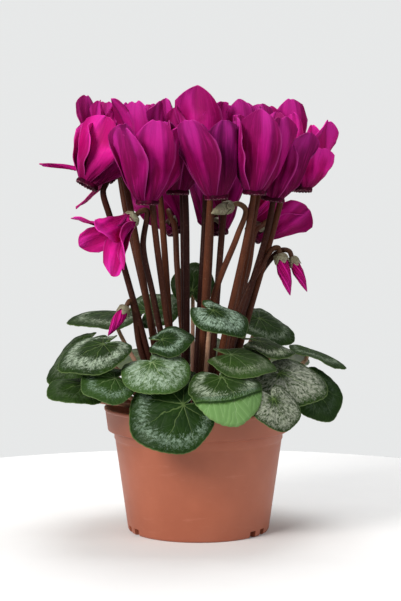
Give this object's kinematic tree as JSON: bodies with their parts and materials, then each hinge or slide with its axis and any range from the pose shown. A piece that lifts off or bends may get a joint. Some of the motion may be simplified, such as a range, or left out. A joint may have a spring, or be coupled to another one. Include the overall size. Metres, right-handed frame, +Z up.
{
  "type": "potted cyclamen",
  "caption": "Cyclamen in full bloom with reflexed petals, hooked buds and heart-shaped leaves, in a round plastic pot of soil.",
  "frame": {"origin": "the middle of the pot's underside, on the surface that it stands on", "axes": "+Z up along the pot's axis; -Y is the side seen from the front; +X to its right"},
  "size_m": [0.1987, 0.1715, 0.2818],
  "materials": {
    "pot": "satin moulded plastic, terracotta colour",
    "soil": "damp peaty crumbs",
    "stem": "smooth fleshy stem, red brown",
    "petal": "soft velvety petal, magenta",
    "leaf": "satin leaf with silver marbling"
  },
  "bodies": {
    "root": {"pot": "pot", "soil": "soil", "crown": "stem", "bloom_01": "petal", "bloom_02": "petal", "bloom_03": "petal", "bloom_04": "petal", "bloom_05": "petal", "bloom_06": "petal", "bloom_07": "petal", "bloom_08": "petal", "bloom_09": "petal", "bloom_10": "petal", "bloom_11": "petal", "bloom_12": "petal", "bloom_13": "petal", "bloom_14": "petal", "bloom_15": "petal", "bloom_16": "petal", "bloom_17": "petal", "bloom_18": "petal", "bud_01": "petal", "bud_02": "petal", "bud_03": "petal", "bud_04": "petal", "leaf_01": "leaf", "leaf_02": "leaf", "leaf_03": "leaf", "leaf_04": "leaf", "leaf_05": "leaf", "leaf_06": "leaf", "leaf_07": "leaf", "leaf_08": "leaf", "leaf_09": "leaf", "leaf_10": "leaf", "leaf_11": "leaf", "leaf_12": "leaf", "leaf_13": "leaf", "leaf_14": "leaf", "leaf_15": "leaf", "leaf_16": "leaf", "leaf_17": "leaf", "leaf_18": "leaf", "leaf_19": "leaf", "leaf_20": "leaf", "leaf_21": "leaf", "leaf_22": "leaf", "leaf_23": "leaf", "leaf_24": "leaf", "leaf_25": "leaf", "leaf_26": "leaf", "leaf_27": "leaf"}
  },
  "joints": []
}
